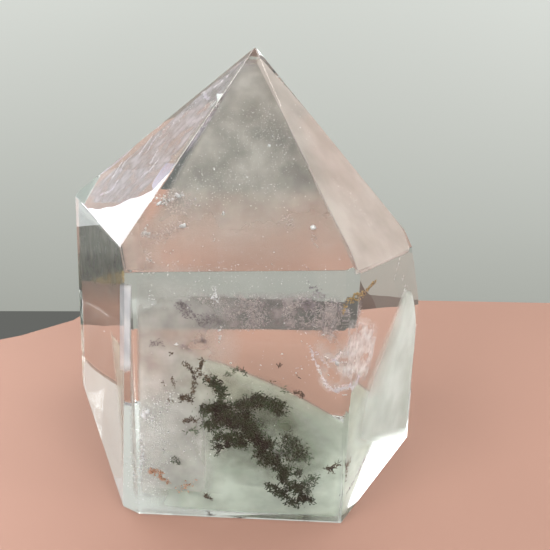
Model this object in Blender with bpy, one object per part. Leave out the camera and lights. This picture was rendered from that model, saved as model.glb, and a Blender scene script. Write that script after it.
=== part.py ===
"""Phantom quartz: a polished clear quartz point that stands on its sawn base.

A dark, mossy growth of chlorite is sealed near its front face. The crystal is
ground from a block one facet at a time, as a lapidary would do it, and parted
in two along a level plane, so that the growth lies in a pocket of both halves.

Frame: metres, +Z up. The origin is the centre of the base, and the broad front
face looks along -Y.
"""

from math import cos, radians, sin
from random import Random

import bmesh
import bpy
from mathutils import Matrix, Vector

MM = 0.001

# The crystal
TIP = Vector((1.5, 0.4, 80.0)) * MM
BLOCK_SIZE = 200 * MM
BASE_BEVEL = 0.7 * MM
EDGE_BEVEL = 0.18 * MM

# Side faces: heading of the outward normal in degrees from +X, lean of the
# normal above the horizontal, and distance of the face from the origin in mm.
SIDE_FACES = {
    "front": (-89.5, -0.3, 30.9),
    "front right sliver": (-71.5, 1.2, 36.1),
    "right": (-32.5, 1.7, 34.75),
    "back right": (16.0, 4.2, 36.0),
    "back": (86.0, -0.5, 31.0),
    "back left": (147.0, -1.6, 38.4),
    "left": (-152.9, 2.0, 29.5),
    "front left sliver": (-116.0, -0.2, 34.4),
}

# Faces of the tip: heading and lean of the normal. All six run through TIP.
TIP_FACES = {
    "front": (-93.0, 44.2),
    "right": (-30.1, 44.8),
    "back right": (25.6, 36.3),
    "back": (86.0, 46.0),
    "back left": (147.0, 52.0),
    "left": (-155.7, 43.1),
}

# A small flat ground on the right shoulder.
SHOULDER_FLAT = (5.3, 20.0, 45.1)

# The parting of the crystal and its pocket
PARTING_HEIGHT = 16.0 * MM
PARTING_GAP = 0.3 * MM
POCKET_CLEARANCE = 0.4 * MM

# The growth: branches as (start, end, radius at start, radius at end) in mm.
BRANCHES = {
    "upper mass": ((-3.5, -24.4, 19.7), (8.9, -24.4, 21.9), 2.7, 2.1),
    "body": ((-0.4, -23.9, 18.2), (4.4, -23.6, 18.0), 3.1, 3.1),
    "lower mass": ((-0.5, -24.7, 15.4), (5.2, -24.1, 16.2), 2.1, 2.7),
    "left fringe": ((-1.0, -25.1, 15.2), (-1.4, -25.5, 12.9), 1.2, 0.9),
    "crest": ((4.4, -25.0, 22.4), (6.3, -25.3, 24.0), 1.2, 1.0),
    "trunk": ((4.7, -24.1, 16.4), (10.4, -24.7, 9.6), 2.6, 2.4),
    "side of the trunk": ((11.5, -23.5, 11.8), (13.9, -25.0, 7.4), 1.9, 1.8),
    "deep lobe": ((5.9, -22.3, 16.0), (13.6, -21.9, 11.4), 1.2, 1.5),
    "tail": ((10.4, -24.7, 9.6), (12.9, -25.9, 4.6), 2.1, 2.0),
    "right of the tail": ((13.2, -25.2, 5.2), (16.5, -22.6, 5.3), 1.6, 1.0),
    "foot of the tail": ((11.8, -26.1, 3.4), (15.8, -25.9, 3.2), 1.2, 0.95),
    "end of the tail": ((12.9, -26.0, 3.6), (13.6, -26.5, 2.6), 1.2, 0.95),
    "upper arm": ((-1.7, -24.7, 21.6), (-1.2, -25.6, 25.6), 1.8, 1.5),
    "upper twig": ((-1.4, -25.5, 25.8), (-4.7, -26.1, 28.0), 1.2, 0.9),
    "end of the twig": ((-4.7, -26.1, 28.0), (-7.3, -26.3, 30.0), 0.9, 0.85),
    "short twig": ((-4.7, -26.1, 28.0), (-4.0, -26.3, 30.3), 0.9, 0.85),
    "hanging twig": ((-4.9, -26.2, 27.3), (-5.8, -26.2, 23.4), 0.9, 0.85),
    "left arm": ((-3.0, -24.9, 21.2), (-7.3, -26.0, 22.8), 1.2, 0.9),
    "left twig": ((-3.4, -24.8, 18.8), (-6.9, -25.6, 18.4), 1.3, 0.9),
    "right twig": ((8.6, -24.4, 22.6), (12.8, -25.5, 24.9), 1.1, 0.9),
}
LUMP_SPACING = 0.7
LUMP_SCATTER = 0.22
LUMP_SEED = 7
SKIN_CELL = 0.8 * MM


def outward(heading, lean):
    """Unit normal of a face from its heading and lean in degrees."""
    turn = radians(heading)
    rise = radians(lean)
    return Vector((cos(turn) * cos(rise), sin(turn) * cos(rise), sin(rise)))


def grind(solid, normal, point):
    """Cut away what lies outside the plane and close the cut with one face."""
    cut = bmesh.ops.bisect_plane(
        solid,
        geom=[*solid.verts, *solid.edges, *solid.faces],
        dist=1e-7,
        plane_co=point,
        plane_no=normal,
        clear_outer=True,
    )
    rim = [item for item in cut["geom_cut"] if isinstance(item, bmesh.types.BMEdge)]
    if rim:
        bmesh.ops.contextual_create(solid, geom=rim)


def ground_crystal():
    """The whole crystal with sharp edges, from a block."""
    solid = bmesh.new()
    bmesh.ops.create_cube(solid, size=BLOCK_SIZE)
    grind(solid, Vector((0, 0, -1)), Vector())
    for heading, lean, distance in SIDE_FACES.values():
        normal = outward(heading, lean)
        grind(solid, normal, normal * distance * MM)
    for heading, lean in TIP_FACES.values():
        grind(solid, outward(heading, lean), TIP)
    heading, lean, distance = SHOULDER_FLAT
    normal = outward(heading, lean)
    grind(solid, normal, normal * distance * MM)
    return solid


def break_edges(solid):
    """A fine bevel round the base, and a much finer one on all other edges."""
    base = [edge for edge in solid.edges if all(v.co.z < 1e-6 for v in edge.verts)]
    bmesh.ops.bevel(
        solid, geom=base, offset=BASE_BEVEL, offset_type="OFFSET", segments=1, affect="EDGES"
    )
    sharp = [
        edge
        for edge in solid.edges
        if edge.calc_face_angle(0.0) > radians(8)
        and edge.calc_length() > 4 * EDGE_BEVEL
        and max(v.co.z for v in edge.verts) > 2 * BASE_BEVEL
    ]
    bmesh.ops.bevel(
        solid, geom=sharp, offset=EDGE_BEVEL, offset_type="OFFSET", segments=1, affect="EDGES"
    )


def part_crystal(side):
    """One half of the crystal: side is +1 above the parting plane, -1 below."""
    solid = ground_crystal()
    break_edges(solid)
    level = PARTING_HEIGHT + side * PARTING_GAP / 2
    grind(solid, Vector((0, 0, -side)), Vector((0, 0, level)))
    return solid


def lumps(extra):
    """The growth as many overlapping balls, each larger by extra metres."""
    chance = Random(LUMP_SEED)
    solid = bmesh.new()
    for start, end, first, last in BRANCHES.values():
        start, end = Vector(start), Vector(end)
        length = (end - start).length
        count = max(2, round(length / (LUMP_SPACING * (first + last) / 2)) + 1)
        for index in range(count):
            along = index / (count - 1)
            radius = first + (last - first) * along
            shift = Vector([chance.uniform(-1, 1) for _ in range(3)])
            centre = start.lerp(end, along) + shift * radius * LUMP_SCATTER
            radius *= chance.uniform(0.9, 1.08)
            bmesh.ops.create_icosphere(
                solid,
                subdivisions=2,
                radius=radius * MM + extra,
                matrix=Matrix.Translation(centre * MM),
            )
    return solid


def material(name, colour, roughness, transmission=0.0, ior=1.5):
    """A Principled material."""
    made = bpy.data.materials.new(name)
    made.use_nodes = True
    shader = made.node_tree.nodes["Principled BSDF"]
    shader.inputs["Base Color"].default_value = (*colour, 1.0)
    shader.inputs["Roughness"].default_value = roughness
    shader.inputs["Metallic"].default_value = 0.0
    shader.inputs["Transmission Weight"].default_value = transmission
    shader.inputs["IOR"].default_value = ior
    made.diffuse_color = (*colour, 1.0)
    return made


def place(name, solid, origin, finish):
    """Put a finished mesh in the scene as an object with its origin at origin."""
    bmesh.ops.recalc_face_normals(solid, faces=solid.faces)
    bmesh.ops.translate(solid, verts=solid.verts, vec=-origin)
    mesh = bpy.data.meshes.new(name)
    solid.to_mesh(mesh)
    solid.free()
    if finish:
        mesh.materials.append(finish)
    made = bpy.data.objects.new(name, mesh)
    made.location = origin
    bpy.context.scene.collection.objects.link(made)
    return made


def skin(made):
    """Melt overlapping balls into one closed, lumpy skin."""
    melt = made.modifiers.new("one skin", "REMESH")
    melt.mode = "VOXEL"
    melt.voxel_size = SKIN_CELL
    melt.use_smooth_shade = True


def build():
    """Model the crystal's two halves and the growth between them."""
    for old in list(bpy.data.objects):
        bpy.data.objects.remove(old, do_unlink=True)

    quartz_low = material("clear quartz base", (0.93, 0.95, 0.94), 0.02, 1.0, 1.544)
    quartz_high = material("clear quartz tip", (0.93, 0.95, 0.94), 0.02, 1.0, 1.544)
    chlorite = material("chlorite", (0.018, 0.030, 0.017), 0.85)

    middle = Vector((3.0, -24.0, 16.0)) * MM
    growth = place("chlorite_phantom", lumps(0.0), middle, chlorite)
    skin(growth)

    pocket = place("pocket", lumps(POCKET_CLEARANCE), middle, None)
    skin(pocket)
    pocket.hide_render = True
    pocket.display_type = "WIRE"

    base = place("quartz_base", part_crystal(-1), Vector(), quartz_low)
    parting = Vector((0, 0, PARTING_HEIGHT + PARTING_GAP / 2))
    tip = place("quartz_tip", part_crystal(1), parting, quartz_high)
    for half in (base, tip):
        hollow = half.modifiers.new("pocket", "BOOLEAN")
        hollow.operation = "DIFFERENCE"
        hollow.solver = "EXACT"
        hollow.object = pocket


build()
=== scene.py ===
"""The looks of a phantom quartz point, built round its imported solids.

A polished clear quartz point stands on its sawn base. A dark, mossy growth of
chlorite is sealed near its front face. The crystal is one clear piece here,
in place of its two halves, and the growth is a cloud of fine grains.

Lengths are in millimetres up to the moment a mesh is made, in the frame of
the solids: +Z up, the broad front face towards -Y, the origin under the tip.
"""

from __future__ import annotations

import itertools
import logging
import math
from dataclasses import dataclass, field
from enum import Enum
from typing import Any

import bpy
import numpy as np
from mathutils import Matrix


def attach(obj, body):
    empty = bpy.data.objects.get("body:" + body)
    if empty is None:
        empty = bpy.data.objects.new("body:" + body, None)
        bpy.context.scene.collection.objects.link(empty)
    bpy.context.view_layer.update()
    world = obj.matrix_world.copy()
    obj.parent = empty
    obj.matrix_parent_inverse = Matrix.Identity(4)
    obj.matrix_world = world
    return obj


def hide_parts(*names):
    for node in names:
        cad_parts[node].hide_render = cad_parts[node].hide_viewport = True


MM = 0.001
PICTURE_WIDTH = 550
SENSOR_WIDTH = 36.0
LOG = logging.getLogger("phantom quartz")

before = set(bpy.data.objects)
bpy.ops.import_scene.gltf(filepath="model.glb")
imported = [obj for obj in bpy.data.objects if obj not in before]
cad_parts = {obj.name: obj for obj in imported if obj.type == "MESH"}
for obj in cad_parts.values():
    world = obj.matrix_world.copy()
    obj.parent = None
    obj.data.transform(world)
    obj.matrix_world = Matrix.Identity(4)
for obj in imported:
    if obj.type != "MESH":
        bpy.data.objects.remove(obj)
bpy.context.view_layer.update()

Points = np.ndarray
Vector3 = tuple[float, float, float]
Vector4 = tuple[float, float, float, float]


def linear(colour: str) -> tuple[float, float, float, float]:
    """Turn an sRGB hex value to linear RGBA.

    Args:
        colour: such as "#C9D2C4".

    Returns:
        Red, green, blue and an alpha of one.
    """
    parts = [int(colour[place : place + 2], 16) / 255 for place in (1, 3, 5)]
    red, green, blue = (
        part / 12.92 if part <= 0.04045 else ((part + 0.055) / 1.055) ** 2.4 for part in parts
    )
    return (red, green, blue, 1.0)


def add_node(
    tree: bpy.types.NodeTree,
    kind: str,
    settings: dict[str, Any] | None = None,
    links: dict[str | int, bpy.types.NodeSocket] | None = None,
) -> bpy.types.Node:
    """Add a node to a tree.

    Args:
        tree: the tree that gets the node.
        kind: the node's type, such as "ShaderNodeMix".
        settings: values by the name of a property or, failing that, of an input.
        links: sockets to link from, by the name or number of the input.

    Returns:
        The new node.
    """
    node = tree.nodes.new(kind)
    for name, value in (settings or {}).items():
        if hasattr(node, name):
            setattr(node, name, value)
        else:
            node.inputs[name].default_value = value
    for name, socket in (links or {}).items():
        tree.links.new(socket, node.inputs[name])
    return node


def heading_lean(heading: Points | float, lean: Points | float) -> Points:
    """Unit vectors from a heading, in degrees from +X, and a lean above the horizontal."""
    turn, rise = np.radians(heading), np.radians(lean)
    return np.stack([np.cos(turn) * np.cos(rise), np.sin(turn) * np.cos(rise), np.sin(rise)], -1)


def make_mesh(name: str, points: Points, faces: Points | list[list[int]]) -> bpy.types.Object:
    """Make an object from corners in millimetres.

    Args:
        name: the object's name.
        points: an array of corners, one row each.
        faces: rows of corner numbers, all of one length, or lists of any length.

    Returns:
        The object, linked to the scene, at the origin.
    """
    mesh = bpy.data.meshes.new(name)
    if isinstance(faces, np.ndarray):
        count, sides = faces.shape
        mesh.vertices.add(len(points))
        mesh.vertices.foreach_set("co", (points * MM).astype(np.float32).ravel())
        mesh.loops.add(count * sides)
        mesh.loops.foreach_set("vertex_index", faces.astype(np.int32).ravel())
        mesh.polygons.add(count)
        mesh.polygons.foreach_set("loop_start", np.arange(count, dtype=np.int32) * sides)
        mesh.update(calc_edges=True)
        mesh.validate()
    else:
        mesh.from_pydata((points * MM).tolist(), [], faces)
    made = bpy.data.objects.new(name, mesh)
    bpy.context.scene.collection.objects.link(made)
    return made


def random_turns(chance: np.random.Generator, count: int) -> Points:
    """Rotation matrices of random direction, from random unit quaternions."""
    quaternions = chance.normal(size=(count, 4))
    w, x, y, z = (quaternions / np.linalg.norm(quaternions, axis=1, keepdims=True)).T
    rows = [
        [1 - 2 * (y * y + z * z), 2 * (x * y - w * z), 2 * (x * z + w * y)],
        [2 * (x * y + w * z), 1 - 2 * (x * x + z * z), 2 * (y * z - w * x)],
        [2 * (x * z - w * y), 2 * (y * z + w * x), 1 - 2 * (x * x + y * y)],
    ]
    return np.moveaxis(np.array(rows), 2, 0)


class GrainForm(Enum):
    """Shapes of grain: how many rings and sides it has, and its thickness."""

    NUGGET = (2, 5, 0.8)
    SPECK = (1, 4, 0.8)
    FLAKE = (1, 6, 0.16)


def grain_shape(form: GrainForm) -> tuple[Points, Points]:
    """One closed grain of about unit radius: rings of corners between two poles.

    Args:
        form: its rings, its sides and its thickness along the axis.

    Returns:
        Corners, and triangles that face outwards.
    """
    rings, sides, thickness = form.value
    rise = np.pi * np.arange(1, rings + 1) / (rings + 1)
    turn = 2 * np.pi * np.arange(sides) / sides
    shift = (np.arange(rings) % 2)[:, None] * np.pi / sides
    around = turn[None, :] + shift
    ring = np.stack(
        [
            np.sin(rise)[:, None] * np.cos(around),
            np.sin(rise)[:, None] * np.sin(around),
            np.broadcast_to(np.cos(rise)[:, None] * thickness, around.shape),
        ],
        -1,
    ).reshape(-1, 3)
    corners = np.vstack([ring, [[0, 0, thickness], [0, 0, -thickness]]])
    step = np.arange(sides)
    after = (step + 1) % sides
    last = (rings - 1) * sides
    faces = [
        np.stack([np.full(sides, rings * sides), step, after], 1),
        np.stack([np.full(sides, rings * sides + 1), last + after, last + step], 1),
    ]
    for row in range(rings - 1):
        low, high = (row + 1) * sides, row * sides
        if row % 2 == 0:
            faces.append(np.stack([high + step, low + step, high + after], 1))
            faces.append(np.stack([high + after, low + step, low + after], 1))
        else:
            faces.append(np.stack([high + step, low + step, low + after], 1))
            faces.append(np.stack([high + step, low + after, high + after], 1))
    return corners, np.vstack(faces)


def grains(
    chance: np.random.Generator, form: GrainForm, centres: Points, sizes: Points
) -> tuple[Points, Points]:
    """Put a turned and stretched copy of a grain at every centre, as whole arrays.

    Args:
        chance: the source of turns and stretches.
        form: which grain.
        centres: a row for each grain, in millimetres.
        sizes: the radius of each grain.

    Returns:
        Corners and triangles of all grains.
    """
    corners, faces = grain_shape(form)
    count = len(centres)
    stretch = chance.uniform(0.7, 1.4, (count, 1, 3))
    turned = np.einsum("nij,nkj->nki", random_turns(chance, count), corners[None] * stretch)
    points = turned * sizes[:, None, None] + centres[:, None, :]
    shifted = faces[None] + np.arange(count)[:, None, None] * len(corners)
    return points.reshape(-1, 3), shifted.reshape(-1, 3)


@dataclass(frozen=True)
class ClearQuartz:
    """Rock crystal, ground flat and polished: colourless, with a cool, faint tint in depth."""

    ior: float = 1.544
    tint: str = "#DDEBE2"
    density: float = 3.0
    wave_mm: float = 22.0

    def material(self) -> bpy.types.Material:
        """Glass with a hand-polished face: a slow swell that bends what is seen through it."""
        made = bpy.data.materials.new("rock crystal, polished")
        made.use_nodes = True
        tree = made.node_tree
        shader = tree.nodes["Principled BSDF"]
        shader.inputs["Base Color"].default_value = (1.0, 1.0, 1.0, 1.0)
        shader.inputs["Roughness"].default_value = 0.0
        shader.inputs["IOR"].default_value = self.ior
        shader.inputs["Transmission Weight"].default_value = 1.0
        place = add_node(tree, "ShaderNodeTexCoord")
        swell = add_node(
            tree,
            "ShaderNodeTexNoise",
            {"Scale": 1 / (self.wave_mm * MM), "Detail": 1.0, "Roughness": 0.4},
            {"Vector": place.outputs["Object"]},
        )
        bump = add_node(
            tree,
            "ShaderNodeBump",
            {"Strength": 1.0, "Distance": 0.12 * MM},
            {"Height": swell.outputs["Fac"]},
        )
        tree.links.new(bump.outputs["Normal"], shader.inputs["Normal"])
        depth = add_node(
            tree, "ShaderNodeVolumeAbsorption", {"Color": linear(self.tint), "Density": self.density}
        )
        tree.links.new(depth.outputs["Volume"], tree.nodes["Material Output"].inputs["Volume"])
        return made


@dataclass(frozen=True)
class Mineral:
    """A fine-grained mineral inside the stone, in patches of two tones.

    The patches keep thousands of like grains from reading as one flat tone.
    """

    name: str
    dark: str
    pale: str
    patch_mm: float = 1.6
    roughness: float = 0.75
    metallic: float = 0.0
    through: float = 0.0

    def material(self) -> bpy.types.Material:
        """Two tones mixed by a noise of the patches' size."""
        made = bpy.data.materials.new(self.name)
        made.use_nodes = True
        tree = made.node_tree
        shader = tree.nodes["Principled BSDF"]
        shader.inputs["Roughness"].default_value = self.roughness
        shader.inputs["Metallic"].default_value = self.metallic
        shader.inputs["Transmission Weight"].default_value = self.through
        place = add_node(tree, "ShaderNodeTexCoord")
        patch = add_node(
            tree,
            "ShaderNodeTexNoise",
            {"Scale": 1 / (self.patch_mm * MM), "Detail": 3.0},
            {"Vector": place.outputs["Object"]},
        )
        tone = add_node(tree, "ShaderNodeValToRGB", {}, {"Fac": patch.outputs["Fac"]})
        tone.color_ramp.elements[0].position = 0.35
        tone.color_ramp.elements[0].color = linear(self.dark)
        tone.color_ramp.elements[1].position = 0.7
        tone.color_ramp.elements[1].color = linear(self.pale)
        tree.links.new(tone.outputs["Color"], shader.inputs["Base Color"])
        return made


@dataclass(frozen=True)
class Mist:
    """A milky film in the quartz, or one whose tone paints in light or shade: see-through, in soft clouds, fading
    towards its rim.
    """

    name: str
    dark: str
    pale: str
    most: float
    least: float = 0.0
    cloud_mm: float = 7.0
    through: float = 0.5

    def material(self) -> bpy.types.Material:
        """A tone that scatters light both ways. Its alpha is the film's cover times clouds."""
        made = bpy.data.materials.new(self.name)
        made.use_nodes = True
        tree = made.node_tree
        shader = tree.nodes["Principled BSDF"]
        shader.inputs["Roughness"].default_value = 0.9
        shader.inputs["Transmission Weight"].default_value = self.through
        shader.inputs["IOR"].default_value = 1.25
        place = add_node(tree, "ShaderNodeTexCoord")
        cloud = add_node(
            tree,
            "ShaderNodeTexNoise",
            {"Scale": 1 / (self.cloud_mm * MM), "Detail": 3.0, "Roughness": 0.5},
            {"Vector": place.outputs["Object"]},
        )
        tone = add_node(tree, "ShaderNodeValToRGB", {}, {"Fac": cloud.outputs["Fac"]})
        tone.color_ramp.elements[0].position = 0.3
        tone.color_ramp.elements[0].color = linear(self.dark)
        tone.color_ramp.elements[1].position = 0.7
        tone.color_ramp.elements[1].color = linear(self.pale)
        tree.links.new(tone.outputs["Color"], shader.inputs["Base Color"])
        spread = add_node(
            tree,
            "ShaderNodeMapRange",
            {"From Min": 0.35, "From Max": 0.65, "To Min": self.least, "To Max": self.most},
            {"Value": cloud.outputs["Fac"]},
        )
        film = add_node(tree, "ShaderNodeAttribute", {"attribute_name": "cover"})
        alpha = add_node(
            tree,
            "ShaderNodeMath",
            {"operation": "MULTIPLY"},
            {0: film.outputs["Fac"], 1: spread.outputs["Result"]},
        )
        tree.links.new(alpha.outputs["Value"], shader.inputs["Alpha"])
        return made


@dataclass(frozen=True)
class Plain:
    """A plain matt surface of the studio."""

    name: str
    colour: str

    def material(self) -> bpy.types.Material:
        """One even, matt tone."""
        made = bpy.data.materials.new(self.name)
        made.use_nodes = True
        shader = made.node_tree.nodes["Principled BSDF"]
        shader.inputs["Base Color"].default_value = linear(self.colour)
        shader.inputs["Roughness"].default_value = 0.7
        return made


@dataclass(frozen=True)
class Glow:
    """A glowing surface of the studio, from one tone to another along a direction: a lamp, or a backdrop whose light
    and shade are painted into its glow.
    """

    name: str
    low: str
    high: str
    reach: tuple[float, float] = (0.0, 1.0)
    strength: float = 1.0
    along: Vector3 = (0.0, 0.0, 1.0)

    def material(self) -> bpy.types.Material:
        """A glow whose tone follows how far a point lies along the direction."""
        made = bpy.data.materials.new(self.name)
        made.use_nodes = True
        tree = made.node_tree
        shader = tree.nodes["Principled BSDF"]
        shader.inputs["Base Color"].default_value = (0.0, 0.0, 0.0, 1.0)
        shader.inputs["Emission Strength"].default_value = self.strength
        place = add_node(tree, "ShaderNodeTexCoord")
        way = add_node(
            tree, "ShaderNodeVectorMath", {"operation": "DOT_PRODUCT"}, {0: place.outputs["Object"]}
        )
        way.inputs[1].default_value = self.along
        rise = add_node(
            tree,
            "ShaderNodeMapRange",
            {"From Min": self.reach[0] * MM, "From Max": self.reach[1] * MM},
            {"Value": way.outputs["Value"]},
        )
        tone = add_node(tree, "ShaderNodeMix", {"data_type": "RGBA"}, {0: rise.outputs["Result"]})
        tone.inputs[6].default_value = linear(self.low)
        tone.inputs[7].default_value = linear(self.high)
        tree.links.new(tone.outputs[2], shader.inputs["Emission Color"])
        return made


@dataclass
class Crystal:
    """The clear point: flat ground faces round a block, and six faces of a tip."""

    tip: Vector3 = (1.5, 0.4, 80.0)
    sides: dict[str, Vector3] = field(
        default_factory=lambda: {
            "front": (-89.5, -0.3, 30.9),
            "front right sliver": (-71.5, 1.2, 36.1),
            "right": (-32.5, 1.7, 34.75),
            "back right": (16.0, 4.2, 36.0),
            "back": (86.0, -0.5, 31.0),
            "back left": (147.0, -1.6, 38.4),
            "left": (-152.9, 2.0, 29.5),
            "front left sliver": (-116.0, -0.2, 34.4),
            "shoulder": (5.3, 20.0, 45.1),
            "base": (0.0, -90.0, 0.0),
        }
    )
    tip_faces: dict[str, tuple[float, float]] = field(
        default_factory=lambda: {
            "front": (-93.0, 44.2),
            "right": (-30.1, 44.8),
            "back right": (25.6, 36.3),
            "back": (86.0, 46.0),
            "back left": (147.0, 52.0),
            "left": (-155.7, 43.1),
        }
    )
    base_bevel: float = 0.7
    edge_bevel: float = 0.18
    front_bevel: float = 0.05
    finish: ClearQuartz = field(default_factory=ClearQuartz)

    def planes(self) -> tuple[Points, Points]:
        """Outward normals and distances of all faces, those of the tip all through it."""
        sides = np.array(list(self.sides.values()))
        tips = np.array(list(self.tip_faces.values()))
        normals = heading_lean(
            np.concatenate([sides[:, 0], tips[:, 0]]), np.concatenate([sides[:, 1], tips[:, 1]])
        )
        through_tip = normals[len(sides) :] @ np.array(self.tip)
        return normals, np.concatenate([sides[:, 2], through_tip])

    def solid(self) -> tuple[Points, list[list[int]]]:
        """Corners and faces of what lies behind every plane.

        Every three planes meet in a point, which is a corner if it lies behind
        all others. The corners on a plane, in order of their angle about the
        middle of them, go round its face.

        Returns:
            Corners in millimetres, and lists of corner numbers.
        """
        normals, distances = self.planes()
        triples = np.array(list(itertools.combinations(range(len(normals)), 3)))
        sound = np.abs(np.linalg.det(normals[triples])) > 1e-6
        triples = triples[sound]
        meets = np.linalg.solve(normals[triples], distances[triples][..., None])[..., 0]
        kept = meets[(meets @ normals.T <= distances + 1e-6).all(axis=1)]
        corners = np.unique(kept.round(5), axis=0)
        faces = []
        for normal, distance in zip(normals, distances):
            on = np.flatnonzero(np.abs(corners @ normal - distance) < 1e-4)
            arms = corners[on] - corners[on].mean(axis=0)
            across = np.cross(normal, arms[0])
            angles = np.arctan2(arms @ across, arms @ arms[0] * np.linalg.norm(normal))
            faces.append(on[np.argsort(angles)].tolist())
        return corners, faces

    def build(self) -> bpy.types.Object:
        """The whole crystal with its edges just broken, more so round the base.

        The level edges at the top of the front are broken least: a wider facet
        there would mirror the dark side of the room as a line across the face.
        """
        corners, faces = self.solid()
        made = make_mesh("clear_quartz_point", corners, faces)
        mesh = made.data
        weights = mesh.attributes.new("bevel_weight_edge", "FLOAT", "EDGE")
        ends = np.array([list(edge.vertices) for edge in mesh.edges])
        low = (corners[ends][..., 2] < 1e-3).all(axis=1)
        front = (corners[ends][..., 1] < -25).all(axis=1) & (corners[ends][..., 2] > 30).all(axis=1)
        widths = np.select([low, front], [self.base_bevel, self.front_bevel], self.edge_bevel)
        weights.data.foreach_set("value", (widths / self.base_bevel).astype(np.float32))
        bevel = made.modifiers.new("broken edges", "BEVEL")
        bevel.width = self.base_bevel * MM
        bevel.segments = 2
        bevel.limit_method = "WEIGHT"
        made.data.materials.append(self.finish.material())
        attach(made, "root")
        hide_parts("quartz_base", "quartz_tip")
        return made


@dataclass(frozen=True)
class Strand:
    """A line of growth through points, each with its radius: x, y, z and radius in mm."""

    points: tuple[Vector4, ...]

    def stretches(self) -> Points:
        """The start and the end of each stretch, a row of two points each."""
        rows = np.array(self.points)
        return np.stack([rows[:-1], rows[1:]], axis=1)


def dress(made: bpy.types.Object, finish: Any) -> bpy.types.Object:
    """Give a piece its finish, and let it move with the stone."""
    made.data.materials.append(finish.material())
    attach(made, "root")
    return made


@dataclass
class Moss:
    """A mossy growth: short curls of grains, strewn along strands."""

    name: str
    strands: tuple[Strand, ...]
    finish: Mineral
    curls: int
    grain: float
    stands_for: tuple[str, ...] = ()
    grains_per_curl: int = 6
    spread: float = 0.6
    lace: float = 2.1
    lace_share: float = 0.7
    lowest: float = 0.9
    slot: str = "chlorite"
    seed: int = 11

    def curl_places(self, chance: np.random.Generator) -> Points:
        """Where curls start: strewn about the strands, thinned by a sponge pattern.

        A place is a point on a strand plus a random offset of about its radius. It is
        kept where the sum of sin(a)cos(b) over the three pairs of axes is near zero,
        which leaves a sponge of about the lace's size.

        Args:
            chance: the source of offsets.

        Returns:
            A row for each curl, in millimetres.
        """
        ends = np.concatenate([strand.stretches() for strand in self.strands])
        middle = ends[..., 3].mean(axis=1)
        length = np.linalg.norm(ends[:, 1, :3] - ends[:, 0, :3], axis=1)
        share = (length + 0.8 * middle) * middle**1.4
        wanted = self.curls * 5
        which = chance.choice(len(ends), wanted, p=share / share.sum())
        along = chance.uniform(0, 1, (wanted, 1))
        at = ends[which, 0] * (1 - along) + ends[which, 1] * along
        offset = np.clip(chance.normal(size=(wanted, 3)), -1.9, 1.9)
        places = at[:, :3] + offset * at[:, 3:] * self.spread
        wave = places * (2 * np.pi / self.lace)
        sponge = (np.sin(wave) * np.cos(np.roll(wave, 1, axis=1))).sum(axis=1)
        kept = (np.abs(sponge) < self.lace_share) & (places[:, 2] > self.lowest)
        return places[kept][: self.curls]

    def build(self) -> bpy.types.Object:
        """Grains along a short, curling walk from every place.

        A walk's heading is a random one plus the running sum of small random turns,
        and each step along it is a little shorter than a grain.
        """
        chance = np.random.default_rng(self.seed)
        places = self.curl_places(chance)
        shape = (len(places), self.grains_per_curl, 3)
        headings = chance.normal(size=(len(places), 1, 3)) + np.cumsum(chance.normal(0, 1.3, shape), axis=1)
        headings *= self.grain * 1.1 / np.linalg.norm(headings, axis=2, keepdims=True)
        centres = (places[:, None, :] + np.cumsum(headings, axis=1)).reshape(-1, 3)
        centres = centres[centres[:, 2] > self.lowest]
        sizes = chance.uniform(0.5, 1.15, len(centres)) * self.grain
        points, faces = grains(chance, GrainForm.SPECK, centres, sizes)
        made = dress(make_mesh(self.name, points, faces), self.finish)
        if self.stands_for:
            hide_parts(*self.stands_for)
        return made


@dataclass(frozen=True)
class Drift:
    """A cloud of specks about a line, in millimetres, with its spread and number."""

    start: Vector3
    end: Vector3
    spread: Vector3
    count: int
    size: float


@dataclass
class Specks:
    """Fluid bubbles, tiny cracks and flakes, some of them painted glints: closed specks in clouds about lines."""

    name: str
    drifts: tuple[Drift, ...]
    form: GrainForm
    finish: Mineral
    seed: int = 5

    def build(self) -> bpy.types.Object:
        """Specks at random shares of each line, with a normal spread to each side."""
        chance = np.random.default_rng(self.seed)
        centres, sizes = [], []
        for drift in self.drifts:
            start, end = np.array(drift.start), np.array(drift.end)
            along = chance.uniform(0, 1, (drift.count, 1))
            shift = np.clip(chance.normal(size=(drift.count, 3)), -2, 2) * np.array(drift.spread)
            centres.append(start + (end - start) * along + shift)
            sizes.append(drift.size * np.exp(chance.normal(0, 0.45, drift.count)).clip(0.4, 2.6))
        points, faces = grains(chance, self.form, np.vstack(centres), np.concatenate(sizes))
        return dress(make_mesh(self.name, points, faces), self.finish)


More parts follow.
